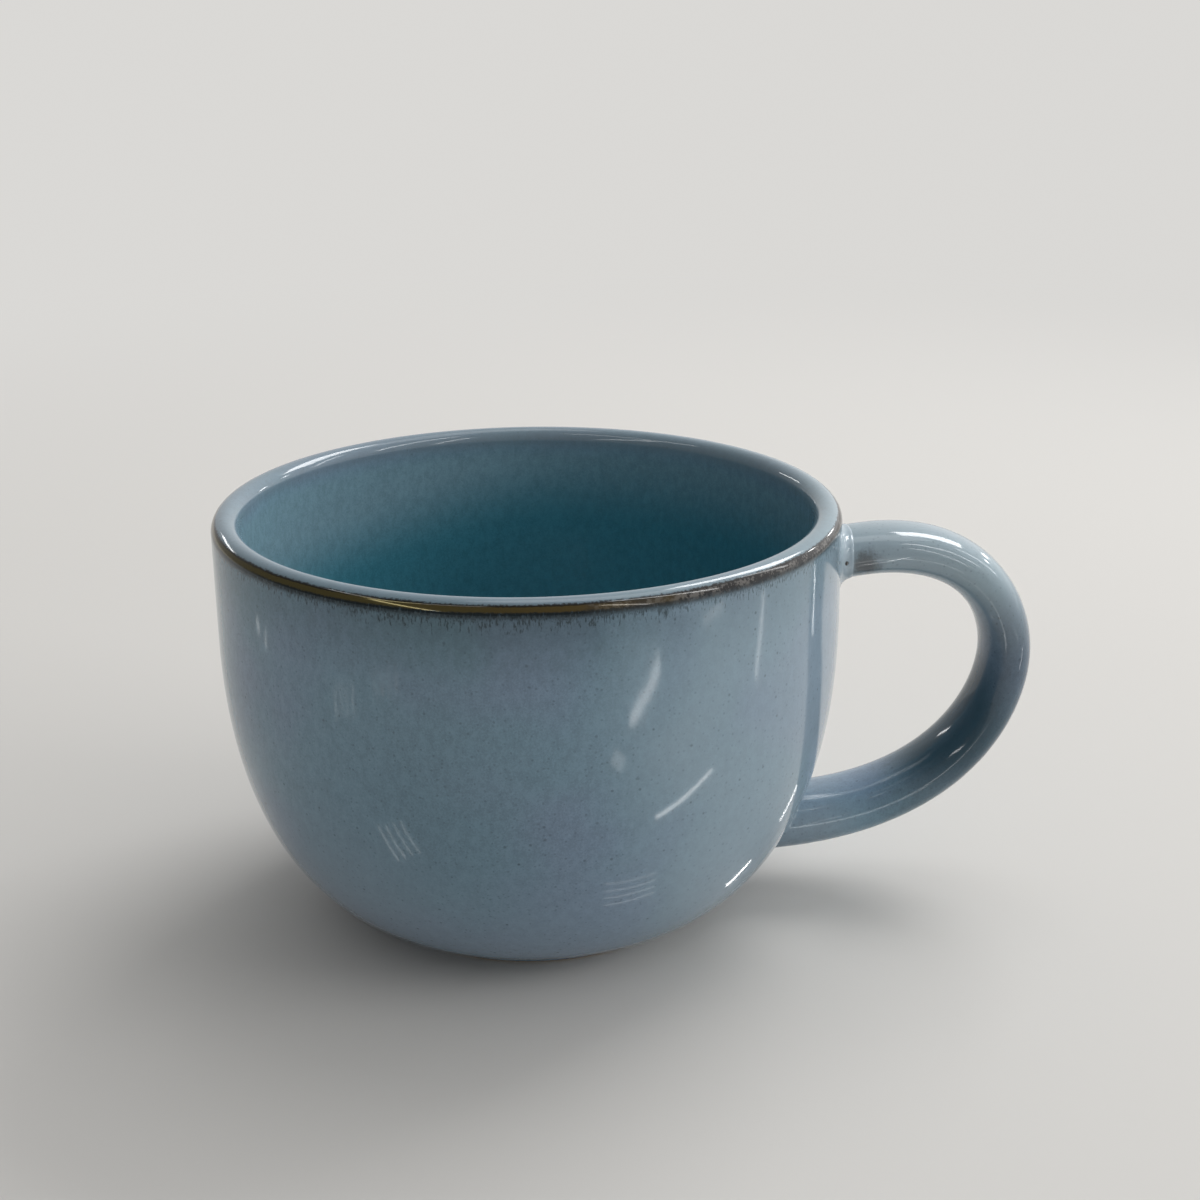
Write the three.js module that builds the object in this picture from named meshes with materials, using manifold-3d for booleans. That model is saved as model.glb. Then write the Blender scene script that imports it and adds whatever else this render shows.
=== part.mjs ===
// A wide stoneware mug: a turned cup with a round lip and a foot ring, and an ear-shaped handle
// that is stuck on with slip (liquid clay) at both ends. Millimetres, +Z up, standing on Z = 0.
import * as THREE from 'three';
import { mergeVertices } from 'three/addons/utils/BufferGeometryUtils.js';
import Module from 'manifold-3d';

// Outside of the cup: radii from the cup's axis, heights from under the foot
const cupHeight = 78;
const cupRadius = 57;
const wall = 5;
const bellyTop = 56.1; // the belly's curve ends here and the wall goes straight up
const bellyRise = 6; // degrees above level at which the belly leaves the foot
const bellyLowerPull = 8;
const bellyUpperPull = 40.9;

// Inside of the cup
const floorThickness = 5.5;
const floorRadius = 20; // flat part of the floor
const insideLowerPull = 25;
const insideUpperPull = 28;

// Foot ring, and the recess that it stands round
const footRadius = 31;
const footHeight = 2;
const footWidth = 4.6;
const footRounding = 0.8;
const recessDepth = 2.5;
const recessFillet = 1.2;

// Centreline of the handle, in the plane of the cup's axis
const handleReach = 94.4; // from the cup's axis to the handle's outer side
const shoulderHeight = 46.4; // where the handle reaches furthest out
const shoulderPull = 11;
const upperRootDrop = 11.6; // from the lip down to where the handle leaves the cup
const upperRise = 12; // degrees above level at which the handle leaves the cup
const upperPull = 24.6;
const lowerRootHeight = 13.2;
const lowerRise = 2.6;
const lowerPull = 33.9;

// Oval section of the handle, which swells towards its ends
const upperThickness = 8.7;
const upperWidth = 15;
const shoulderThickness = 9.1;
const shoulderWidth = 15.5;
const lowerThickness = 11;
const lowerWidth = 17.5;
const squareness = 2.2; // 2 is a plain ellipse

// Slip joints: a bed between cup and handle, and a hollow fillet smoothed round it
const slipBed = 1.8;
const slipFillet = 5;
const slipEdge = 0.2; // least thickness, where the fillet runs out
const clearance = 0.3; // between neighbouring pieces

// Fineness of the facets
const turnSteps = 64;
const curveSteps = 14;
const cornerSteps = 4;
const sectionSides = 24;
const handleSteps = 38;
const filletSteps = 4;
const solveSteps = 30;

const wasm = await Module();
wasm.setup();

const degrees = THREE.MathUtils.degToRad;
const at = (radius, height) => new THREE.Vector2(radius, height);
const along = (angle, length) => at(Math.cos(degrees(angle)) * length, Math.sin(degrees(angle)) * length);

// Turns a profile of radius and height about the cup's axis
function turned(profile) {
  return new THREE.LatheGeometry(profile, turnSteps).rotateX(Math.PI / 2);
}

// Covers a row of rings, each with as many points, and closes both ends
function lofted(rings) {
  const sides = rings[0].length;
  const points = rings.flat();
  const faces = [];
  for (let ring = 1; ring < rings.length; ring++) {
    for (let side = 0; side < sides; side++) {
      const next = (side + 1) % sides;
      const [a, b] = [(ring - 1) * sides + side, (ring - 1) * sides + next];
      const [c, d] = [ring * sides + side, ring * sides + next];
      faces.push(a, b, d, a, d, c);
    }
  }
  for (const [ring, start] of [[rings.at(0), 0], [rings.at(-1), points.length - sides]]) {
    const middle = ring.reduce((sum, point) => sum.add(point), new THREE.Vector3()).divideScalar(sides);
    const hub = points.push(middle) - 1;
    for (let side = 0; side < sides; side++) {
      const [a, b] = [start + side, start + ((side + 1) % sides)];
      faces.push(hub, ...(start === 0 ? [b, a] : [a, b]));
    }
  }
  return new THREE.BufferGeometry().setFromPoints(points).setIndex(faces);
}

// A closed geometry as a solid that can be cut
function solid(geometry) {
  geometry.deleteAttribute('normal');
  geometry.deleteAttribute('uv');
  const merged = mergeVertices(geometry);
  const vertProperties = Float32Array.from(merged.getAttribute('position').array);
  const triVerts = Uint32Array.from(merged.index.array);
  return new wasm.Manifold(new wasm.Mesh({ numProp: 3, vertProperties, triVerts }));
}

// A cut solid as a geometry again
function shaped(cut) {
  const { vertProperties, triVerts } = cut.getMesh();
  const geometry = new THREE.BufferGeometry();
  geometry.setAttribute('position', new THREE.BufferAttribute(vertProperties, 3));
  geometry.setIndex(new THREE.BufferAttribute(triVerts, 1));
  geometry.computeVertexNormals();
  return geometry;
}

// Cup body: one turned profile, from the middle of the underside round to the middle of the floor
const belly = new THREE.CubicBezierCurve(
  at(footRadius, footHeight),
  at(footRadius, footHeight).add(along(bellyRise, bellyLowerPull)),
  at(cupRadius, bellyTop - bellyUpperPull),
  at(cupRadius, bellyTop),
);

function cupProfile() {
  const footInside = footRadius - footWidth;
  const inside = cupRadius - wall;
  const lip = wall / 2;
  const floorTop = recessDepth + floorThickness;
  const foot = new THREE.Path();
  foot.absarc(footInside - recessFillet, recessDepth - recessFillet, recessFillet, degrees(90), 0, true);
  foot.absarc(footInside + footRounding, footRounding, footRounding, degrees(180), degrees(270));
  foot.absarc(footRadius - footRounding, footRounding, footRounding, degrees(-90), 0);
  const rim = new THREE.Path();
  rim.absarc(cupRadius - lip, cupHeight - lip, lip, 0, degrees(180));
  const hollow = new THREE.CubicBezierCurve(
    at(inside, bellyTop),
    at(inside, bellyTop - insideUpperPull),
    at(floorRadius + insideLowerPull, floorTop),
    at(floorRadius, floorTop),
  );
  return [
    at(0, recessDepth),
    ...foot.getPoints(cornerSteps / 2),
    ...belly.getPoints(curveSteps),
    ...rim.getPoints(cornerSteps),
    ...hollow.getPoints(curveSteps),
    at(0, floorTop),
  ];
}

// The cup's outside from foot to rim, moved out by a distance, as the handle and the slip meet it
function cupOutside(outset) {
  const line = [at(footRadius + outset, -outset)];
  for (let step = 0; step <= curveSteps; step++) {
    const share = step / curveSteps;
    const tangent = belly.getTangent(share);
    const point = belly.getPoint(share).add(at(tangent.y, -tangent.x).multiplyScalar(outset));
    point.x = Math.max(point.x, footRadius + outset);
    line.push(point);
  }
  line.push(at(cupRadius + outset, cupHeight + outset));
  return line;
}

function filledCup(outset) {
  return solid(turned([at(0, -outset), ...cupOutside(outset), at(0, cupHeight + outset)]));
}

const outsideLine = cupOutside(0);

function outsideRadius(height) {
  const upper = outsideLine.findIndex((point) => point.y > height);
  const [low, high] = [outsideLine[upper - 1], outsideLine[upper]];
  return low.clone().lerp(high, (height - low.y) / (high.y - low.y)).x;
}

// Distance of a point from the cup's outside, negative within the clay
function cupDistance(point) {
  const place = new THREE.Vector3(Math.hypot(point.x, point.y), point.z, 0);
  let nearest = Infinity;
  for (let step = 1; step < outsideLine.length; step++) {
    const [low, high] = [outsideLine[step - 1], outsideLine[step]];
    const edge = new THREE.Line3(new THREE.Vector3(low.x, low.y, 0), new THREE.Vector3(high.x, high.y, 0));
    const away = place.clone().sub(edge.closestPointToPoint(place, true, new THREE.Vector3()));
    const run = edge.delta(new THREE.Vector3());
    const outward = away.x * run.y - away.y * run.x;
    if (away.length() < Math.abs(nearest)) nearest = Math.sign(outward) * away.length();
  }
  return nearest;
}

// Handle: an oval swept along two curves that meet at the shoulder, with straight leads into the cup
const shoulder = at(handleReach - shoulderThickness / 2, shoulderHeight);
const upperRootHeight = cupHeight - upperRootDrop;
const upperRoot = at(outsideRadius(upperRootHeight), upperRootHeight);
const lowerRoot = at(outsideRadius(lowerRootHeight), lowerRootHeight);
const leadLength = lowerRoot.x - floorRadius;
const centreline = new THREE.CurvePath();
centreline.add(new THREE.LineCurve(upperRoot.clone().sub(along(upperRise, leadLength)), upperRoot));
centreline.add(new THREE.CubicBezierCurve(
  upperRoot,
  upperRoot.clone().add(along(upperRise, upperPull)),
  shoulder.clone().add(at(0, shoulderPull)),
  shoulder,
));
centreline.add(new THREE.CubicBezierCurve(
  shoulder,
  shoulder.clone().sub(at(0, shoulderPull)),
  lowerRoot.clone().add(along(lowerRise, lowerPull)),
  lowerRoot,
));
centreline.add(new THREE.LineCurve(lowerRoot, lowerRoot.clone().sub(along(lowerRise, leadLength))));

const pathLengths = centreline.getCurveLengths();
const pathLength = pathLengths.at(-1);
const shoulderShare = pathLengths[1] / pathLength;
const upperShare = leadLength / pathLength;
const lowerShare = 1 - upperShare;

// Thickness and width of the handle at a share of the centreline's length
function sectionAt(share) {
  const upper = share < shoulderShare;
  const root = upper ? upperShare : lowerShare;
  const nearness = Math.min((share - shoulderShare) / (root - shoulderShare), 1) ** 2;
  const endThickness = upper ? upperThickness : lowerThickness;
  const endWidth = upper ? upperWidth : lowerWidth;
  const thickness = THREE.MathUtils.lerp(shoulderThickness, endThickness, nearness);
  const width = THREE.MathUtils.lerp(shoulderWidth, endWidth, nearness);
  return { thickness, width };
}

// A point on the handle's skin, moved out by a distance: turn goes round the oval
function handlePoint(share, turn, outset) {
  const { thickness, width } = sectionAt(share);
  const bulge = (value) => Math.sign(value) * Math.abs(value) ** (2 / squareness);
  const across = bulge(Math.cos(turn)) * (width / 2 + outset);
  const deep = bulge(Math.sin(turn)) * (thickness / 2 + outset);
  const centre = centreline.getPoint(share);
  const tangent = centreline.getTangent(share);
  return new THREE.Vector3(centre.x - tangent.y * deep, across, centre.y + tangent.x * deep);
}

const turns = Array.from({ length: sectionSides }, (_, side) => degrees((360 * side) / sectionSides));

function sweptHandle(outset) {
  const shares = [0];
  for (let step = 0; step <= handleSteps; step++) {
    shares.push(THREE.MathUtils.lerp(upperShare, lowerShare, step / handleSteps));
  }
  shares.push(1);
  return solid(lofted(shares.map((share) => turns.map((turn) => handlePoint(share, turn, outset)))));
}

// The point at an outset from the handle's skin that is also a given distance from the cup
function betweenHandleAndCup(inCup, turn, outset, distance) {
  let near = inCup;
  let far = shoulderShare;
  for (let step = 0; step < solveSteps; step++) {
    const middle = (near + far) / 2;
    if (cupDistance(handlePoint(middle, turn, outset)) < distance) near = middle;
    else far = middle;
  }
  return handlePoint(near, turn, outset);
}

// Slip joint: its skin is as hollow as a quarter circle between the handle's skin and the cup's.
// inCup is the end of the centreline that lies in the cup.
const handleRoom = sweptHandle(clearance).subtract(filledCup(slipBed - clearance));

function slipJoint(inCup) {
  const edge = Math.acos(1 - (clearance + slipEdge) / slipFillet);
  const ring = (outset, distance) =>
    turns.map((turn) => betweenHandleAndCup(inCup, turn, outset, distance));
  const rings = [];
  for (let step = 0; step <= filletSteps; step++) {
    const sweep = THREE.MathUtils.lerp(edge, degrees(90) - edge, step / filletSteps);
    rings.push(ring(slipFillet * (1 - Math.cos(sweep)), slipFillet * (1 - Math.sin(sweep))));
  }
  rings.push(ring(slipFillet * (1 - Math.sin(edge)), -slipEdge));
  if (inCup === 0) rings.reverse();
  return solid(lofted(rings)).subtract(filledCup(clearance)).subtract(handleRoom);
}

// The mug stands with the middle of its whole length over the origin
const mug = new THREE.Group();
mug.position.x = (cupRadius - handleReach) / 2;

function addPiece(name, geometry, color, roughness) {
  const piece = new THREE.Mesh(geometry, new THREE.MeshStandardMaterial({ color, roughness, metalness: 0 }));
  piece.name = name;
  mug.add(piece);
}

addPiece('cup_body', turned(cupProfile()), 0x5d7482, 0.22);
addPiece('handle', shaped(sweptHandle(0).subtract(filledCup(slipBed))), 0x647b88, 0.22);
addPiece('upper_slip_joint', shaped(slipJoint(0)), 0x7b929d, 0.25);
addPiece('lower_slip_joint', shaped(slipJoint(1)), 0x647b88, 0.25);

export default mug;
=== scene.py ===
"""A wide stoneware mug in a blue reactive glaze that breaks to brown below its lip."""
import bisect
import math

import bmesh
import bpy
from mathutils import Matrix, Vector


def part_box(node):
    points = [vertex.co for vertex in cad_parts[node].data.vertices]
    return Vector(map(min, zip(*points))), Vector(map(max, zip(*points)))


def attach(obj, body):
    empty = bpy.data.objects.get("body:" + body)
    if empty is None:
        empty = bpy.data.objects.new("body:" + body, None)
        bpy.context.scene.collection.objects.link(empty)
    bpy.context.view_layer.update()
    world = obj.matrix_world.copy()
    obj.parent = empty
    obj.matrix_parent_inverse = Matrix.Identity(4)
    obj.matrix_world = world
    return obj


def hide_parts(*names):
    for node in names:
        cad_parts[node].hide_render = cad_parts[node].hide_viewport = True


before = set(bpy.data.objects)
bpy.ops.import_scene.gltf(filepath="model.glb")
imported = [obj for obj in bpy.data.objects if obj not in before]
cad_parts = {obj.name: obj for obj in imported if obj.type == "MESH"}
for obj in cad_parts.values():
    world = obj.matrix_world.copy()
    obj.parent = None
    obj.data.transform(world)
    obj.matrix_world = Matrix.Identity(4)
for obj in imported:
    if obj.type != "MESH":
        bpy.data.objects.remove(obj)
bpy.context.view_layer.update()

# Sizes in millimetres: radii from the cup's axis, heights from under the foot
MM = 0.001
cup_low, cup_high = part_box("cup_body")
handle_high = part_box("handle")[1]
CUP_AXIS = (cup_low.x + cup_high.x) / 2 / MM
CUP_RADIUS = (cup_high.y - cup_low.y) / 2 / MM
CUP_HEIGHT = cup_high.z / MM
HANDLE_REACH = handle_high.x / MM - CUP_AXIS

# Cup
WALL = 5
LIP = WALL / 2
BELLY_TOP = 56.1
BELLY_RISE = math.radians(6)
BELLY_LOWER_PULL = 8
BELLY_UPPER_PULL = 40.9
BOWL_FLOOR_TOP = 8
BOWL_FLOOR_RADIUS = 20
INSIDE_LOWER_PULL = 25
INSIDE_UPPER_PULL = 28
FOOT_RADIUS = 31
FOOT_HEIGHT = 2
FOOT_INSIDE = 26.4
FOOT_ROUNDING = 0.8
RECESS_DEPTH = 2.5
RECESS_FILLET = 1.2
BREAK_ANGLE = math.radians(46)

# Handle
SHOULDER_HEIGHT = 46.4
SHOULDER_PULL = 11
UPPER_ROOT_HEIGHT = CUP_HEIGHT - 11.6
UPPER_RISE = math.radians(12)
UPPER_PULL = 24.6
LOWER_ROOT_HEIGHT = 13.2
LOWER_RISE = math.radians(2.6)
LOWER_PULL = 33.9
UPPER_SECTION = Vector((8.7, 15))
SHOULDER_SECTION = Vector((9.1, 15.5))
LOWER_SECTION = Vector((11, 17.5))
SQUARENESS = 2.2
BURIED = 1.2

# Slip joints
# Each place is a distance from the cup and a height over the handle's skin
COLLAR_IN_HANDLE = [(2.9, -0.5)]
COLLAR_EDGE = [Vector((2.52, -0.05)), Vector((2.4, 0.12)), Vector((2.2, 0.18)), Vector((1.9, 0.2))]
COLLAR_FLARE = [Vector((1.9, 0.2)), Vector((1, 0.22)), Vector((0.15, 0.9)), Vector((-0.04, 2.8))]
COLLAR_IN_CUP = [(-0.4, 3), (-1.2, 2.2)]
COLLAR_POOL_DISTANCE = 0.35
COLLAR_POOL_HEIGHT = 0.1
LOWER_FILLET = 1.8
LOWER_IN_HANDLE = [(LOWER_FILLET + 1.2, -0.5), (LOWER_FILLET + 0.5, -0.04)]
LOWER_IN_CUP = [(-0.04, LOWER_FILLET + 0.5), (-0.5, LOWER_FILLET + 0.6), (-1.2, LOWER_FILLET - 1)]
LOWER_POOL = 0.35

# Marks in the glaze, and the middle of the painted shade in the handle's inner bend
NECK_PATCH = (CUP_AXIS + 61.3, -7.5, 66.3)
PINHOLE = (CUP_AXIS + 57.6, -7.9, 66.9)
INNER_BEND = (CUP_AXIS + 78, 0, 34)

# Eye of the camera
# Its turn to the right, its tilt down and its roll are in degrees
EYE = Vector((-23.6, -331, 174.3))
EYE_TURNS = (3.1, 19.29, -0.41)
LENS = 56.6
SENSOR = 36
NEAREST_SEEN = 10

# Fineness of the meshes
TURNS = 256
HANDLE_SIDES = 64
HANDLE_STEPS = 150
LINE_STEPS = 240
BOWL_STEPS = 60
FLAT_STEPS = 10
ROUND_STEPS = 8
SIDE_STEPS = 16
LIP_STEPS = 36
EDGE_STEPS = 4
FLARE_STEPS = 12
SAME_PLACE = 0.0001
SOLVE_STEPS = 26
SOLVE_REACH = 40


def bezier(ends, share):
    rest = 1 - share
    start, first, second, end = ends
    return (
        start * rest ** 3
        + first * (3 * rest ** 2 * share)
        + second * (3 * rest * share ** 2)
        + end * share ** 3
    )


def curve(ends, steps):
    return [bezier(ends, step / steps) for step in range(steps + 1)]


def straight(start, end, steps):
    return [start.lerp(end, step / steps) for step in range(steps + 1)]


def arc(centre, radius, start, end, steps):
    line = []
    for step in range(steps + 1):
        angle = math.radians(start + (end - start) * step / steps)
        line.append(centre + Vector((math.cos(angle), math.sin(angle))) * radius)
    return line


def slanted(angle, length):
    return Vector((math.cos(angle), math.sin(angle))) * length


def lengths_along(line):
    """How far along a line each of its points lies"""
    lengths = [0]
    for before, after in zip(line, line[1:]):
        lengths.append(lengths[-1] + (after - before).length)
    return lengths


# Cup: its outside line is also what the handle and the slip meet
belly_start = Vector((FOOT_RADIUS, FOOT_HEIGHT))
belly = curve([
    belly_start,
    belly_start + slanted(BELLY_RISE, BELLY_LOWER_PULL),
    Vector((CUP_RADIUS, BELLY_TOP - BELLY_UPPER_PULL)),
    Vector((CUP_RADIUS, BELLY_TOP)),
], BOWL_STEPS)
outside = [Vector((FOOT_RADIUS, 0)), *belly, Vector((CUP_RADIUS, CUP_HEIGHT))]
outside_heights = [point.y for point in outside]


def outside_edge(height):
    """The points of the outside line just below and above a height"""
    upper = bisect.bisect(outside_heights, height)
    upper = min(max(upper, 1), len(outside) - 1)
    return outside[upper - 1], outside[upper]


def outside_radius(height):
    low, high = outside_edge(height)
    return low.lerp(high, (height - low.y) / (high.y - low.y)).x


def cup_gap(place):
    """Distance of a place from the cup's outside, less than zero within the clay"""
    low, high = outside_edge(place.z)
    slope = (high.y - low.y) / (high - low).length
    return (math.hypot(place.x, place.y) - outside_radius(place.z)) * slope


def cup_profile():
    """Points from the middle of the underside round the lip to the middle of the floor"""
    inside = CUP_RADIUS - WALL
    lip_base = CUP_HEIGHT - LIP
    recess_edge = FOOT_INSIDE - RECESS_FILLET
    underside = straight(Vector((0, RECESS_DEPTH)), Vector((recess_edge, RECESS_DEPTH)), FLAT_STEPS)
    recess = arc(Vector((recess_edge, RECESS_DEPTH - RECESS_FILLET)), RECESS_FILLET, 90, 0, ROUND_STEPS)
    inner_middle = Vector((FOOT_INSIDE + FOOT_ROUNDING, FOOT_ROUNDING))
    inner = arc(inner_middle, FOOT_ROUNDING, 180, 270, ROUND_STEPS)
    outer_middle = Vector((FOOT_RADIUS - FOOT_ROUNDING, FOOT_ROUNDING))
    outer = arc(outer_middle, FOOT_ROUNDING, -90, 0, ROUND_STEPS)
    side = straight(Vector((CUP_RADIUS, BELLY_TOP)), Vector((CUP_RADIUS, lip_base)), SIDE_STEPS)
    lip = arc(Vector((CUP_RADIUS - LIP, lip_base)), LIP, 0, 180, LIP_STEPS)
    inner_side = straight(Vector((inside, lip_base)), Vector((inside, BELLY_TOP)), SIDE_STEPS)
    floor_edge = Vector((BOWL_FLOOR_RADIUS, BOWL_FLOOR_TOP))
    bowl = curve([
        Vector((inside, BELLY_TOP)),
        Vector((inside, BELLY_TOP - INSIDE_UPPER_PULL)),
        floor_edge + Vector((INSIDE_LOWER_PULL, 0)),
        floor_edge,
    ], BOWL_STEPS)
    floor = straight(floor_edge, Vector((0, BOWL_FLOOR_TOP)), FLAT_STEPS)
    profile = []
    for line in (underside, recess, inner, outer, belly, side, lip, inner_side, bowl, floor):
        fresh = [point for point in line if not profile or (point - profile[-1]).length > SAME_PLACE]
        profile.extend(fresh)
    return profile


def break_runs(profile):
    """How far each point of the profile lies from the break in the glaze: down the outside is positive"""
    lengths = lengths_along(profile)
    lip_start = Vector((CUP_RADIUS, CUP_HEIGHT - LIP))
    nearest = min(range(len(profile)), key=lambda step: (profile[step] - lip_start).length)
    break_length = lengths[nearest] + LIP * BREAK_ANGLE
    return [break_length - length for length in lengths]


# Handle: an oval swept along two curves that meet at the shoulder
upper_root = Vector((outside_radius(UPPER_ROOT_HEIGHT), UPPER_ROOT_HEIGHT))
lower_root = Vector((outside_radius(LOWER_ROOT_HEIGHT), LOWER_ROOT_HEIGHT))
shoulder = Vector((HANDLE_REACH - SHOULDER_SECTION.x / 2, SHOULDER_HEIGHT))
handle_line = curve([
    upper_root,
    upper_root + slanted(UPPER_RISE, UPPER_PULL),
    shoulder + Vector((0, SHOULDER_PULL)),
    shoulder,
], LINE_STEPS) + curve([
    shoulder,
    shoulder - Vector((0, SHOULDER_PULL)),
    lower_root + slanted(LOWER_RISE, LOWER_PULL),
    lower_root,
], LINE_STEPS)[1:]
line_runs = lengths_along(handle_line)
SHOULDER_RUN = line_runs[LINE_STEPS]
HANDLE_RUN = line_runs[-1]


def line_slope(step):
    before = handle_line[max(step - 1, 0)]
    after = handle_line[min(step + 1, len(handle_line) - 1)]
    return (after - before).normalized()


line_slopes = [line_slope(step) for step in range(len(handle_line))]


def on_line(run):
    """Place and direction of the handle's centreline, which goes straight on into the cup at both ends"""
    step = min(max(bisect.bisect(line_runs, run), 1), len(handle_line) - 1)
    share = (run - line_runs[step - 1]) / (line_runs[step] - line_runs[step - 1])
    place = handle_line[step - 1].lerp(handle_line[step], share)
    slope = line_slopes[step - 1].lerp(line_slopes[step], min(max(share, 0), 1))
    return place, slope.normalized()


def handle_section(run):
    """Thickness and width of the oval, which grow from the shoulder to both roots"""
    if run < SHOULDER_RUN:
        nearness = min((SHOULDER_RUN - run) / SHOULDER_RUN, 1) ** 2
        return SHOULDER_SECTION.lerp(UPPER_SECTION, nearness)
    nearness = min((run - SHOULDER_RUN) / (HANDLE_RUN - SHOULDER_RUN), 1) ** 2
    return SHOULDER_SECTION.lerp(LOWER_SECTION, nearness)


def bulge(value):
    """A sine or cosine swelled, so that the oval is a little squarer than an ellipse"""
    return math.copysign(abs(value) ** (2 / SQUARENESS), value)


def handle_point(run, turn, outset):
    """A place on the handle's skin, moved out by a distance: turn goes round the oval"""
    thickness, width = handle_section(run)
    across = bulge(math.cos(turn)) * (width / 2 + outset)
    deep = bulge(math.sin(turn)) * (thickness / 2 + outset)
    place, slope = on_line(run)
    return Vector((place.x - slope.y * deep, across, place.y + slope.x * deep))


def meeting_run(root_run, turn, outset, distance):
    """Where a line of the handle's skin, moved out by an outset, stands at a distance from the cup"""
    near = root_run + math.copysign(SOLVE_REACH, root_run - SHOULDER_RUN)
    far = SHOULDER_RUN
    for _ in range(SOLVE_STEPS):
        middle = (near + far) / 2
        if cup_gap(handle_point(middle, turn, outset)) < distance:
            near = middle
        else:
            far = middle
    return near


handle_turns = [2 * math.pi * side / HANDLE_SIDES for side in range(HANDLE_SIDES)]


# Meshes
def skin(name, node, rings, runs, pools, poles):
    """A closed glazed piece over a row of rings, whose ends run in to two poles"""
    mesh = bpy.data.meshes.new(name)
    form = bmesh.new()
    shift = Vector((CUP_AXIS, 0, 0))
    rows = [[form.verts.new((place + shift) * MM) for place in ring] for ring in rings]
    ends = [form.verts.new((pole + shift) * MM) for pole in poles]
    sides = len(rows[0])
    for below, above in zip(rows, rows[1:]):
        for side in range(sides):
            after = (side + 1) % sides
            form.faces.new((below[side], below[after], above[after], above[side]))
    for pole, row in zip(ends, (rows[0], rows[-1])):
        for side in range(sides):
            form.faces.new((pole, row[side], row[(side + 1) % sides]))
    bmesh.ops.recalc_face_normals(form, faces=form.faces)
    form.to_mesh(mesh)
    form.free()
    mesh.shade_smooth()
    for label, values in (("run", runs), ("pool", pools)):
        spread = [value for value in values[1:-1] for _ in range(sides)]
        store = mesh.attributes.new(label, "FLOAT", "POINT")
        store.data.foreach_set("value", [*spread, values[0], values[-1]])
    piece = bpy.data.objects.new(name, mesh)
    bpy.context.scene.collection.objects.link(piece)
    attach(piece, "root")
    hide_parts(node)
    return piece


def middle_of(ring):
    return sum(ring, Vector((0, 0, 0))) / len(ring)


def make_cup():
    profile = cup_profile()
    turns = [2 * math.pi * turn / TURNS for turn in range(TURNS)]
    rings = []
    for radius, height in profile[1:-1]:
        rings.append([Vector((math.cos(turn) * radius, math.sin(turn) * radius, height)) for turn in turns])
    poles = [Vector((0, 0, point.y)) for point in (profile[0], profile[-1])]
    return skin("glazed_cup", "cup_body", rings, break_runs(profile), [0] * len(profile), poles)


# Distance from the break that the other pieces get, and limits between the cup's distances and theirs
OFF_THE_CUP = 200
CUP_RUN_LIMIT = 150
LOOSE_RUN_LIMIT = 190


def make_loose(name, node, rings, pools):
    """A piece beside the cup, closed over its first and last rings"""
    runs = [OFF_THE_CUP] * (len(rings) + 2)
    poles = [middle_of(rings[0]), middle_of(rings[-1])]
    return skin(name, node, rings, runs, [pools[0], *pools, pools[-1]], poles)


def make_handle():
    starts = [meeting_run(0, turn, 0, -BURIED) for turn in handle_turns]
    ends = [meeting_run(HANDLE_RUN, turn, 0, -BURIED) for turn in handle_turns]
    rings = []
    for step in range(HANDLE_STEPS + 1):
        share = step / HANDLE_STEPS
        ring = []
        for turn, start, end in zip(handle_turns, starts, ends):
            ring.append(handle_point(start + (end - start) * share, turn, 0))
        rings.append(ring)
    return make_loose("glazed_handle", "handle", rings, [0] * len(rings))


def make_joint(name, node, root_run, steps):
    """A bed of slip at one of the handle's ends, over rings at given steps from the cup to the handle"""
    rings = []
    for distance, outset, _ in steps:
        ring = []
        for turn in handle_turns:
            run = meeting_run(root_run, turn, outset, distance)
            ring.append(handle_point(run, turn, outset))
        rings.append(ring)
    return make_loose(name, node, rings, [pool for _, _, pool in steps])


def hidden(places):
    """Rings out of sight in the clay, with no glaze pooled on them"""
    return [(distance, outset, 0) for distance, outset in places]


def upper_collar():
    """A flared collar: how far each ring stands from the cup and the handle's skin, and its pool of glaze"""
    steps = []
    for distance, outset in curve(COLLAR_EDGE, EDGE_STEPS) + curve(COLLAR_FLARE, FLARE_STEPS)[1:]:
        pool = max(min(distance / COLLAR_POOL_DISTANCE, outset / COLLAR_POOL_HEIGHT, 1), 0)
        steps.append((distance, outset, pool))
    return [*hidden(COLLAR_IN_HANDLE), *steps, *hidden(COLLAR_IN_CUP)]


def lower_fillet():
    """A hollow fillet, in the same terms"""
    steps = []
    for step in range(FLARE_STEPS + 1):
        sweep = math.radians(90) * step / FLARE_STEPS
        distance = LOWER_FILLET * (1 - math.sin(sweep))
        outset = LOWER_FILLET * (1 - math.cos(sweep))
        steps.append((distance, outset, LOWER_POOL * math.sin(2 * sweep)))
    return [*hidden(LOWER_IN_HANDLE), *steps, *hidden(LOWER_IN_CUP)]


# Shader maths, and the sockets of a Mix node for colours
MIX_OFF = 6
MIX_ON = 7
MIX_RESULT = 2


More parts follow.
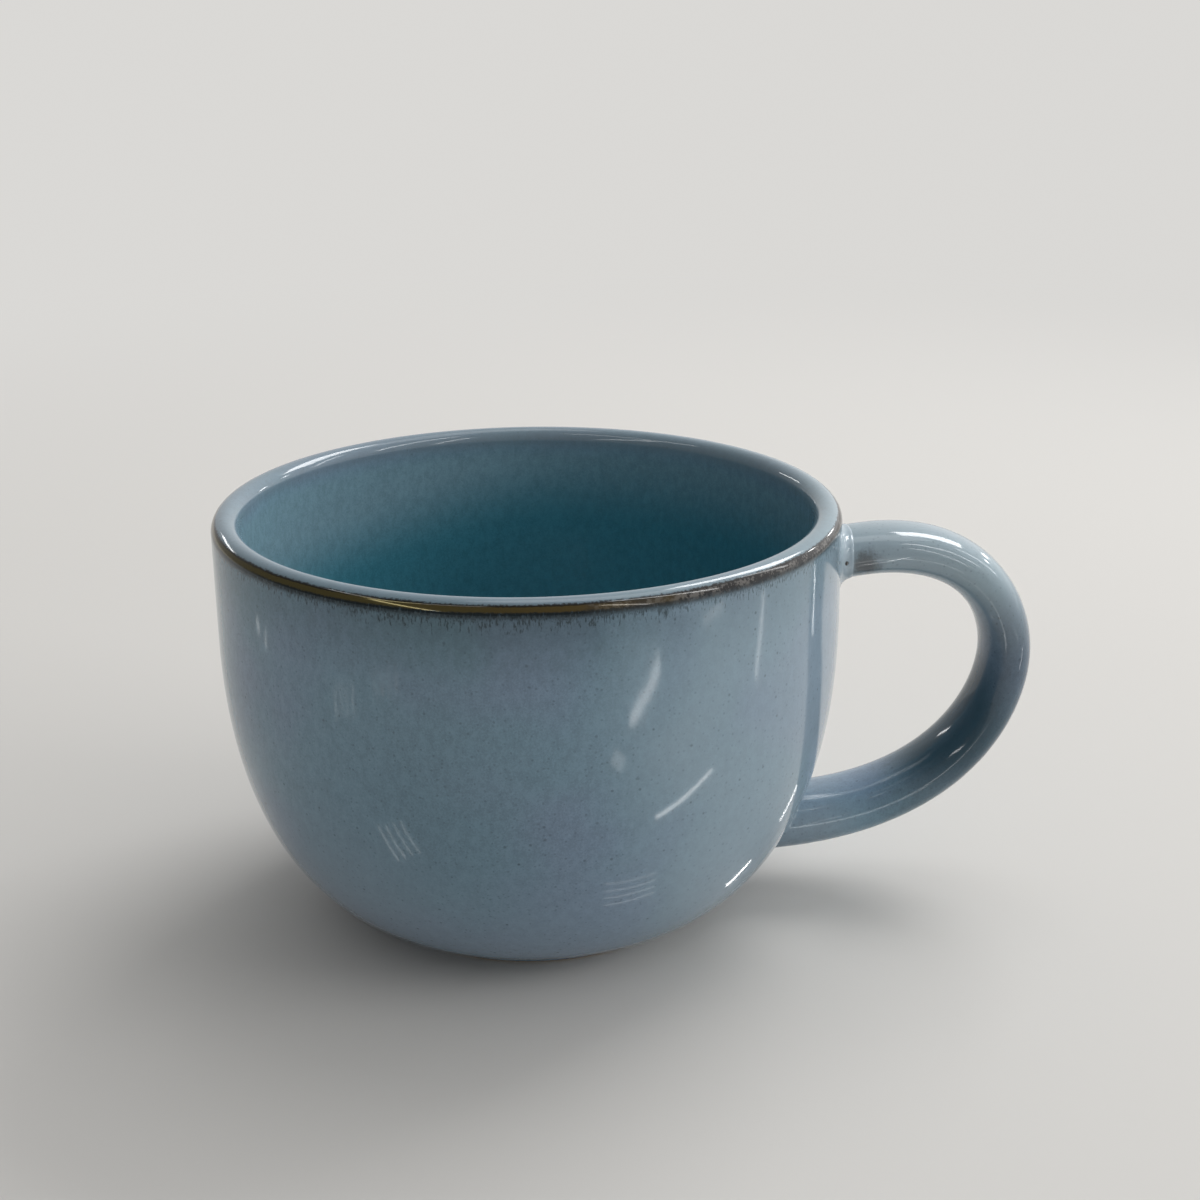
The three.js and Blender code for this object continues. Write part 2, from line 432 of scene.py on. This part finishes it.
class Wire:
    """An output in a node tree. Arithmetic on wires adds Math nodes, so that a mask reads as a formula."""

    def __init__(self, tree, socket=None):
        self.tree = tree
        self.socket = socket

    def node(self, kind, settings, inputs, output=0):
        """Add a node, set it up, fill or link its inputs, and give one of its outputs"""
        made = self.tree.nodes.new(kind)
        for name, value in settings.items():
            setattr(made, name, value)
        for name, value in inputs.items():
            target = made.inputs[name]
            if isinstance(value, Wire):
                self.tree.links.new(value.socket, target)
            else:
                target.default_value = value
        return Wire(self.tree, made.outputs[output]) if made.outputs else None

    def math(self, operation, *terms):
        return self.node("ShaderNodeMath", {"operation": operation}, dict(enumerate(terms)))

    def __add__(self, other):
        return self.math("ADD", self, other)

    def __radd__(self, other):
        return self.math("ADD", other, self)

    def __sub__(self, other):
        return self.math("SUBTRACT", self, other)

    def __rsub__(self, other):
        return self.math("SUBTRACT", other, self)

    def __mul__(self, other):
        return self.math("MULTIPLY", self, other)

    def __rmul__(self, other):
        return self.math("MULTIPLY", other, self)

    def rise(self, low, high):
        """From 0 to 1 as the value goes from low to high, smoothly, or back down where low is the greater"""
        settings = {"interpolation_type": "SMOOTHSTEP"}
        return self.node("ShaderNodeMapRange", settings, {"Value": self, "From Min": low, "From Max": high})

    def blend(self, off, on):
        """The colour off where the value is 0, and on where it is 1"""
        inputs = {0: self, MIX_OFF: off, MIX_ON: on}
        return self.node("ShaderNodeMix", {"data_type": "RGBA"}, inputs, MIX_RESULT)

    def scale(self, factor):
        """A colour made lighter or darker by a factor"""
        inputs = {0: self, "Scale": factor}
        return self.node("ShaderNodeVectorMath", {"operation": "SCALE"}, inputs)

    def stretch(self, factors):
        return self.node("ShaderNodeVectorMath", {"operation": "MULTIPLY"}, {0: self, 1: factors})

    def noise(self, size, detail=2, roughness=0.5):
        """Cloudy values about 0.5, with clouds of a size in the units of the coordinates"""
        inputs = {"Vector": self, "Scale": 1 / size, "Detail": detail, "Roughness": roughness}
        return self.node("ShaderNodeTexNoise", {}, inputs)

    def cells(self, size, output):
        """The distance from the nearest cell's middle, or that cell's own colour"""
        inputs = {"Vector": self, "Scale": 1 / size}
        return self.node("ShaderNodeTexVoronoi", {}, inputs, output)

    def distance(self, place):
        settings = {"operation": "DISTANCE"}
        return self.node("ShaderNodeVectorMath", settings, {0: self, 1: place}, "Value")

    def glow(self, axis):
        """How bright a soft light round an axis is in this direction"""
        settings = {"operation": "DOT_PRODUCT"}
        nearness = self.node("ShaderNodeVectorMath", settings, {0: self, 1: axis}, "Value")
        return self.math("POWER", self.math("MAXIMUM", nearness, 0), 2)

    def part(self, axis):
        return self.node("ShaderNodeSeparateXYZ", {}, {"Vector": self}, axis)


def colour(red, green, blue):
    return (red, green, blue, 1)


def cleared(owner):
    """A start in the emptied node tree of a material or the world"""
    owner.use_nodes = True
    owner.node_tree.nodes.clear()
    return Wire(owner.node_tree)


# Colours of the glaze, and of painted light and shade on it
BLUE = colour(0.178, 0.259, 0.352)
GREENER_BLUE = colour(0.163, 0.271, 0.346)
# Painted light on the cup's side next to the handle
LIT_SIDE_BLUE = colour(0.31, 0.385, 0.44)
# Painted light on the handle's upper arm and at its lower root
LIT_ARM_BLUE = colour(0.315, 0.385, 0.415)
LIT_ROOT_BLUE = colour(0.3, 0.34, 0.39)
# Painted bounce light low on the belly
BOUNCE_LIT_BLUE = colour(0.25, 0.325, 0.4)
# The teal inside, the deeper tone with painted shade
HIGH_TEAL = colour(0.18, 0.293, 0.35)
SHADED_DEEP_TEAL = colour(0.055, 0.213, 0.278)
# The lip's own pale glaze, with painted light making it lighter toward the right
SHADED_LEFT_LIP = colour(0.155, 0.2, 0.23)
LIT_RIGHT_LIP = colour(0.22, 0.285, 0.31)
POOLED_BLUE = colour(0.36, 0.44, 0.5)
SHADE_TEAL = colour(0, 0.033, 0.042)
HAIR_TEAL = colour(0.014, 0.03, 0.038)
EDGE_TEAL = colour(0.009, 0.016, 0.02)
# Painted shade in the handle's inner bend
BEND_SHADE_TEAL = colour(0.008, 0.043, 0.065)
LEFT_OLIVE = colour(0.09, 0.072, 0.022)
FRONT_OLIVE = colour(0.09, 0.062, 0.018)
PALE_MAUVE = colour(0.115, 0.108, 0.1)
DARK_MAUVE = colour(0.006, 0.005, 0.005)
NEAR_BLACK = colour(0.012, 0.011, 0.01)
NECK_BROWN = colour(0.062, 0.056, 0.052)
DARK_CLAY = colour(0.3, 0.215, 0.14)
PALE_CLAY = colour(0.4, 0.3, 0.205)

# Grain of the glaze, as sizes in millimetres and the stretch of what hangs down
CLOUD = 34
MOTTLE = 1.5
MOTTLE_HANG = (1, 1, 0.7)
GRAIN = 0.36
WOBBLE = 8
RAGGED_EDGE = 0.5
HAIR = 0.34
HAIR_HANG = (1, 1, 0.24)
FINE_SPECK = 0.85
LARGE_SPECK = 2.2
SLOW_WAVE = 14
ORANGE_PEEL = 2.4
GLAZE_INDEX = 1.5


class Glaze:
    """The glaze in its layers, each laid over the colour so far. Its limits are in millimetres: run goes
    down the outside from the break, height up from the foot, and along from the cup's axis to the handle."""

    def __init__(self, base):
        spot = base.node("ShaderNodeTexCoord", {}, {}, "Object").stretch((1 / MM, 1 / MM, 1 / MM))
        self.base = base
        self.spot = spot
        self.run = base.node("ShaderNodeAttribute", {"attribute_name": "run"}, {}, "Fac")
        self.pool = base.node("ShaderNodeAttribute", {"attribute_name": "pool"}, {}, "Fac")
        self.height = spot.part("Z")
        self.along = spot.part("X") - CUP_AXIS
        self.on_handle = self.run.rise(CUP_RUN_LIMIT, LOOSE_RUN_LIMIT)
        self.on_cup = 1 - self.on_handle

        # Clouds, mottle and grain, and the two kinds of frayed edge
        self.clouds = spot.noise(CLOUD, 2)
        self.mottle = spot.stretch(MOTTLE_HANG).noise(MOTTLE, 4, 0.7)
        self.grain = spot.noise(GRAIN, 3, 0.8)
        self.depth = (self.mottle * 0.55 + self.grain * 0.5).rise(0.36, 0.7)
        self.ragged = spot.noise(RAGGED_EDGE, 3, 0.65) - 0.5
        self.feather = spot.stretch(HAIR_HANG).noise(HAIR, 2, 0.6) - 0.5

        # Where the break runs, and where it turns from olive to mauve
        wobble = spot.noise(WOBBLE, 2) - 0.5
        fall = self.run + wobble * 0.3
        self.fall = fall
        self.middle = self.along.rise(-50, -10)
        self.turning = (self.along + wobble * 30).rise(6, 24)
        band_top = (fall + self.ragged * 0.4).rise(-0.05, 0.1)
        self.band = band_top * (fall + self.feather * 1.2).rise(1.5 + self.turning * 0.7, 1.2)
        frayed = fall + self.feather * 3 + self.ragged * 1.2
        self.lower_edge = (fall + self.ragged * 0.6).rise(0.95, 1.3) * frayed.rise(2.3, 1.5)
        self.bare = (self.height + self.ragged * 0.3).rise(0.5, 0.3)

    def body(self):
        """Clouds of two hues with mottle and grain, on the cup and the handle, with painted light and shade
        laid over them
        """
        hue = self.clouds.rise(0.4, 0.6).blend(BLUE, GREENER_BLUE)
        body = hue.scale(0.85 + self.depth * 0.28)
        return self.cup_shade_and_bounce_light(self.handle_light_and_shade(self.lit_side(body)))

    def lit_side(self, body):
        """Painted light: paler on the cup's side next to the handle"""
        side = (self.along + (self.clouds - 0.5) * 60).rise(4, 40)
        side_light = side * self.run.rise(-3, 1) * self.on_cup
        return (side_light * 0.5).blend(body, LIT_SIDE_BLUE)

    def handle_light_and_shade(self, body):
        """Painted shade on the handle's outer bend, painted light on its upper arm and at its lower root,
        and the whole handle painted a little lighter
        """
        bend = self.along.rise(58, 76) * self.height.rise(66, 52)
        body = body.scale(1 + self.on_handle * (0.1 - bend * 0.58))
        lit_arm = self.on_handle * self.height.rise(44, 66)
        body = (lit_arm * 0.75).blend(body, LIT_ARM_BLUE)
        # Painted light where the lower root faces up
        root = self.on_handle * self.height.rise(26, 12) * self.along.rise(66, 54)
        return (root * 0.5).blend(body, LIT_ROOT_BLUE)

    def cup_shade_and_bounce_light(self, body):
        """Painted shade slightly darkening the front, and painted bounce light making it paler low on the
        belly and on the lower left
        """
        along = self.along
        height = self.height
        # Painted shade on the front
        front = along.rise(-42, -12) * along.rise(28, 2) * height.rise(14, 40) * self.on_cup
        body = body.scale(1 - front * 0.1)
        left = height.rise(52, 16) * along.rise(-10, -40)
        low = (height.rise(40, 6) * 0.42 + left * 0.46) * self.on_cup
        return low.blend(body, BOUNCE_LIT_BLUE)

    def specks(self, size, edge, chance):
        """Round specks in cells of a size, not dark in every cell"""
        shape = self.spot.cells(size, "Distance").rise(*edge)
        return shape * self.spot.cells(size, "Color").part("X").rise(*chance)

    def iron(self, body):
        """Dark specks of iron, many fine and some larger"""
        fine = self.specks(FINE_SPECK, (0.34, 0.12), (0.3, 1))
        large = self.specks(LARGE_SPECK, (0.17, 0.05), (0.45, 0.9))
        return body.scale((1 - fine * 0.22) * (1 - large * 0.36))

    def inside(self, body):
        """Teal inside below the lip, deepening downward and toward the handle's side: the glaze's own colour
        with painted shade
        """
        deep = (self.run + self.along.rise(10, -50) * 9).rise(-7, -24)
        teal = deep.blend(HIGH_TEAL, SHADED_DEEP_TEAL).scale(0.84 + self.depth * 0.3)
        return self.run.rise(-4.5, -10).blend(body, teal)

    def pale_parts(self, body):
        """Paler where the glaze lies on the lip, with painted light making the lip lighter toward the right,
        and paler where the glaze pools in the slip joints
        """
        pale = self.run.rise(-8, -5) * self.run.rise(0.3, -0.2)
        lip = self.along.rise(-60, 60).blend(SHADED_LEFT_LIP, LIT_RIGHT_LIP)
        body = (pale * 0.6).blend(body, lip)
        return (self.pool * 0.6).blend(body, POOLED_BLUE)

    def hairs(self, body):
        """Teal shade below the break, and the dark hairs that hang from it"""
        fall = self.fall
        shade = fall.rise(16, 0.5) * fall.rise(-0.6, 0.3) * (1 - self.turning * 0.6)
        body = (shade * (0.33 + self.middle * 0.17)).blend(body, SHADE_TEAL)
        frayed = self.feather * 3.6 + self.ragged * 1.2
        thinning = 0.44 - self.middle * 0.18 + self.turning * 0.06
        hairs = (frayed + 1.4 - self.middle * 0.3 - fall * thinning).rise(0.15, 0.85)
        hairs = hairs * fall.rise(1, 1.35)
        return (hairs * (0.85 - self.turning * 0.2)).blend(body, HAIR_TEAL)

    def brown_band(self, body):
        """The break itself: a band of olive or mauve between two ragged dark edges"""
        olive = self.along.rise(-26, 4).blend(LEFT_OLIVE, FRONT_OLIVE)
        blotches = self.mottle - 0.5 + self.ragged * 0.6
        mauve = blotches.rise(-0.09, 0.03).blend(PALE_MAUVE, DARK_MAUVE)
        body = self.band.blend(body, self.turning.blend(olive, mauve))
        upper_top = (self.fall + self.ragged * 1.1).rise(-0.3, -0.02)
        upper_edge = upper_top * (self.fall + self.ragged * 0.4).rise(0.34, 0.16)
        body = (upper_edge * 0.9).blend(body, NEAR_BLACK)
        return (self.lower_edge * (0.95 - self.turning * 0.4)).blend(body, EDGE_TEAL)

    def handle_marks(self, body):
        """Brown on the handle's neck, a pinhole, and painted shade in dark teal in the handle's inner bend
        """
        spot = self.spot
        patch = (spot.distance(NECK_PATCH) + self.ragged * 2 + (self.mottle - 0.5) * 3).rise(4, 0.8)
        body = (patch * (1 - self.pool) * 0.75).blend(body, NECK_BROWN)
        body = spot.distance(PINHOLE).rise(0.5, 0.3).blend(body, NEAR_BLACK)
        # Painted shade in the handle's inner bend
        bend_shade = (spot.distance(INNER_BEND) + (self.clouds - 0.5) * 6).rise(17, 8) * self.on_handle
        return (bend_shade * 0.87).blend(body, BEND_SHADE_TEAL)

    def bare_foot(self, body):
        """Bare clay on the foot ring"""
        clay = self.grain.rise(0.3, 0.7).blend(DARK_CLAY, PALE_CLAY)
        return self.bare.blend(body, clay)

    def surface(self, body):
        """Glossy, with orange peel and slow waves, and a metallic gleam on the olive side of the break"""
        waves = self.spot.noise(SLOW_WAVE, 1)
        peel = self.spot.noise(ORANGE_PEEL, 2)
        relief = waves * 0.05 + peel * 0.006 + self.bare * self.grain * 0.1
        bump = {"Strength": 1, "Distance": MM, "Height": relief}
        lustre = self.base.math("MAXIMUM", self.band, self.lower_edge) * (1 - self.turning) * 0.6
        return self.base.node("ShaderNodeBsdfPrincipled", {}, {
            "Base Color": body,
            "Roughness": 0.06 + self.grain * 0.06 + self.bare * 0.6,
            "Metallic": lustre,
            "Normal": self.base.node("ShaderNodeBump", {}, bump),
            "IOR": GLAZE_INDEX,
        })


def make_glaze():
    material = bpy.data.materials.new("blue_glaze")
    base = cleared(material)
    glaze = Glaze(base)
    body = glaze.body()
    layers = [
        glaze.iron,
        glaze.inside,
        glaze.pale_parts,
        glaze.hairs,
        glaze.brown_band,
        glaze.handle_marks,
        glaze.bare_foot,
    ]
    for lay_on in layers:
        body = lay_on(body)
    base.node("ShaderNodeOutputMaterial", {}, {"Surface": glaze.surface(body)})
    return material


# Studio: the floor fades into an even backdrop, away from the mug and its shadow
# Lengths are in metres
FLOOR_COLOUR = colour(0.66, 0.645, 0.62)
BACKDROP_COLOUR = colour(0.7, 0.69, 0.67)
FLOOR_REACH = 8
FADE_START = 0.2
FADE_END = 0.7


def make_floor():
    reach = FLOOR_REACH
    corners = [(-reach, -reach, 0), (reach, -reach, 0), (reach, reach, 0), (-reach, reach, 0)]
    mesh = bpy.data.meshes.new("floor")
    mesh.from_pydata(corners, [], [(0, 1, 2, 3)])
    floor = bpy.data.objects.new("floor", mesh)
    bpy.context.scene.collection.objects.link(floor)
    material = bpy.data.materials.new("pale_floor")
    base = cleared(material)
    near = base.node("ShaderNodeBsdfDiffuse", {}, {"Color": FLOOR_COLOUR})
    far = base.node("ShaderNodeEmission", {}, {"Color": BACKDROP_COLOUR})
    away = base.node("ShaderNodeTexCoord", {}, {}, "Object").distance((0, 0, 0))
    looked_at = base.node("ShaderNodeLightPath", {}, {}, "Is Camera Ray")
    mirrored = base.node("ShaderNodeLightPath", {}, {}, "Is Glossy Ray")
    fade = away.rise(FADE_START, FADE_END) * (looked_at + mirrored)
    surface = base.node("ShaderNodeMixShader", {}, {0: fade, 1: near, 2: far})
    base.node("ShaderNodeOutputMaterial", {}, {"Surface": surface})
    mesh.materials.append(material)


# Panels of light round the mug
# Turn to the right from the front and rise in degrees, width and height in metres, brightness in watts for
# each square metre, and whether the glaze mirrors it
LAMP_AIM = Vector((0, 0, 0.045))
PANEL_DISTANCE = 1.3
PANELS = [
    ("side_window", 72, 22, 0.7, 0.5, 12, False),
    ("back_window", 140, 45, 0.8, 0.5, 16.5, False),
    ("top_panel", 150, 72, 0.8, 0.5, 4.25, True),
]

# Bright strips that only the glaze mirrors, on the lip and the handle
# Turn and rise of both ends, width in metres and brightness
STRIP_DISTANCE = 1.2
STRIPS = [
    ("window_strip", (152, 56), (126, 36), 0.3, 30),
    ("lip_strip", (47, 67), (70, 30), 0.06, 32),
    ("right_strip", (102, 20), (105, 47), 0.07, 18),
    ("front_strip", (39, 17), (27, 47), 0.05, 25),
    ("left_strip", (-98, 47), (-66, 48), 0.05, 20),
    ("high_left_strip", (-66, 48), (-26, 63), 0.05, 20),
    ("low_left_strip", (-33, 17), (-68, 43), 0.05, 22),
    ("back_left_strip", (-133, 20), (-150, 19), 0.05, 25),
    ("right_spot", (122, 23), (124, 20), 0.05, 60),
    ("far_right_spot", (135, 14), (140, 11), 0.05, 40),
]

# Small gleams on the cup's side, mirrored from lamps below the eye
# Turn round the cup and height at which both ends show, share of the way down to the floor at which the lamp
# hangs, width in millimetres and brightness
GLEAMS = [
    ("streak_gleam", (20, 66), (15, 57), 0.75, 3.6, 20),
    ("patch_gleam", (12, 51.5), (14, 49.5), 0.75, 7, 5),
    ("line_gleam", (30.5, 45.5), (20, 38.5), 0.75, 1.6, 22),
    ("edge_gleam", (57.5, 33), (54, 27), 0.4, 0.35, 42),
    ("low_edge_gleam", (47.5, 21), (42.5, 17), 0.75, 0.6, 66),
    ("wall_gleam", (41, 74), (39.5, 59.5), 0.75, 1.6, 29),
    ("side_gleam", (56.8, 75), (56.8, 62), 0.12, 0.25, 60),
    ("curl_gleam", (28, 72), (32, 74.5), 0.75, 1.4, 13),
    ("left_dash", (-53.5, 68.5), (-53, 66), 0.75, 0.6, 45),
    ("low_left_dash", (-51, 67), (-51, 64), 0.75, 0.6, 45),
]

# Groups of fine gleams side by side
# Both ends of the first and of the last, width and brightness
HATCH_LINES = 4
HATCH_REACH = 0.75
HATCHES = [
    ("left_hatch", (-34.5, 62), (-34.5, 56), (-31, 62.5), (-31, 56.5), 0.5, 18),
    ("middle_hatch", (-27, 64.5), (-26.5, 61), (-23, 65), (-23, 62), 0.5, 18),
    ("low_left_hatch", (-28.5, 37), (-25.5, 30.5), (-24, 38.5), (-21, 33), 0.5, 9),
    ("low_right_hatch", (11.5, 26.5), (21.5, 27), (12, 21.5), (22, 22.5), 0.4, 6),
]

# Height over which the lean of the cup's side is measured
LEAN_STEP = 1

# Sky: its even level, and the axis and strength of each soft glow
SKY_LEVEL = 0.27
SKY_GLOWS = [
    ((0.4, 0.85, 0.34), 0.75),
    ((0.94, 0, 0.34), 0.59),
    ((0, -0.94, 0.34), 0.1),
]


def heading(turn, rise):
    """The direction of a place from its turn to the right of the front and its rise, in degrees"""
    turn = math.radians(turn)
    rise = math.radians(rise)
    level = Vector((math.sin(turn), -math.cos(turn), 0))
    return level * math.cos(rise) + Vector((0, 0, math.sin(rise)))


def mirrored_place(turn, height, reach):
    """A place that the eye sees mirrored in the cup's side, a share of the way down to the floor"""
    level = heading(turn, 0)
    place = Vector((CUP_AXIS, 0, height)) + level * outside_radius(height)
    widening = outside_radius(height + LEAN_STEP / 2) - outside_radius(height - LEAN_STEP / 2)
    normal = (level - Vector((0, 0, widening / LEAN_STEP))).normalized()
    sight = (place - EYE).normalized()
    bounce = sight - normal * (2 * sight.dot(normal))
    return (place - bounce * (reach * height / bounce.z)) * MM


def hang_lamp(name, start, end, width, brightness):
    """A long lamp between two places, which faces the mug"""
    reach = end - start
    middle = (start + end) / 2
    along = reach.normalized()
    away = middle - LAMP_AIM
    away = (away - along * away.dot(along)).normalized()
    lamp = bpy.data.lights.new(name, "AREA")
    lamp.shape = "RECTANGLE"
    lamp.size = reach.length
    lamp.size_y = width
    lamp.energy = brightness * reach.length * width
    turned = Matrix((along, away.cross(along), away)).transposed().to_4x4()
    holder = bpy.data.objects.new(name, lamp)
    holder.matrix_world = Matrix.Translation(middle) @ turned
    bpy.context.scene.collection.objects.link(holder)
    return holder


def hang_gleam(name, start, end, width, brightness):
    """A lamp that shows only where the glaze mirrors it"""
    lamp = hang_lamp(name, start, end, width, brightness)
    lamp.visible_camera = False
    lamp.visible_diffuse = False


def make_lamps():
    for name, turn, rise, width, height, brightness, mirrored in PANELS:
        middle = LAMP_AIM + heading(turn, rise) * PANEL_DISTANCE
        half = heading(turn + 90, 0) * width / 2
        panel = hang_lamp(name, middle - half, middle + half, height, brightness)
        panel.visible_glossy = mirrored
    for name, start, end, width, brightness in STRIPS:
        places = [LAMP_AIM + heading(*way) * STRIP_DISTANCE for way in (start, end)]
        hang_gleam(name, *places, width, brightness)
    for name, start, end, reach, width, brightness in GLEAMS:
        places = [mirrored_place(*spot, reach) for spot in (start, end)]
        hang_gleam(name, *places, width * MM, brightness)
    for name, first_start, first_end, last_start, last_end, width, brightness in HATCHES:
        for line in range(HATCH_LINES):
            share = line / (HATCH_LINES - 1)
            start = Vector(first_start).lerp(Vector(last_start), share)
            end = Vector(first_end).lerp(Vector(last_end), share)
            places = [mirrored_place(*spot, HATCH_REACH) for spot in (start, end)]
            hang_gleam(f"{name}_{line}", *places, width * MM, brightness)


def make_world():
    world = bpy.data.worlds.new("studio")
    bpy.context.scene.world = world
    base = cleared(world)
    direction = base.node("ShaderNodeTexCoord", {}, {}, "Generated")
    sky = SKY_LEVEL
    for axis, strength in SKY_GLOWS:
        sky = sky + direction.glow(axis) * strength
    seen = base.node("ShaderNodeLightPath", {}, {}, "Is Camera Ray")
    tint = seen.blend(colour(1, 1, 1), BACKDROP_COLOUR)
    light = base.node("ShaderNodeBackground", {}, {"Color": tint, "Strength": sky * (1 - seen) + seen})
    base.node("ShaderNodeOutputWorld", {}, {"Surface": light})


def make_camera():
    yaw, pitch, roll = (math.radians(turn) for turn in EYE_TURNS)
    forward = Vector((math.sin(yaw) * math.cos(pitch), math.cos(yaw) * math.cos(pitch), -math.sin(pitch)))
    level = Vector((math.cos(yaw), -math.sin(yaw), 0))
    upright = level.cross(forward)
    right = level * math.cos(roll) + upright * math.sin(roll)
    above = upright * math.cos(roll) - level * math.sin(roll)
    lens = bpy.data.cameras.new("camera")
    lens.lens = LENS
    lens.sensor_width = SENSOR
    lens.clip_start = NEAREST_SEEN * MM
    camera = bpy.data.objects.new("camera", lens)
    turned = Matrix((right, above, -forward)).transposed().to_4x4()
    camera.matrix_world = Matrix.Translation(EYE * MM) @ turned
    bpy.context.scene.collection.objects.link(camera)
    bpy.context.scene.camera = camera


pieces = [
    make_cup(),
    make_handle(),
    make_joint("upper_joint", "upper_slip_joint", 0, upper_collar()),
    make_joint("lower_joint", "lower_slip_joint", HANDLE_RUN, lower_fillet()),
]
glaze = make_glaze()
for piece in pieces:
    piece.data.materials.append(glaze)

make_floor()
make_world()
make_lamps()
make_camera()
bpy.context.scene.view_settings.view_transform = "Standard"
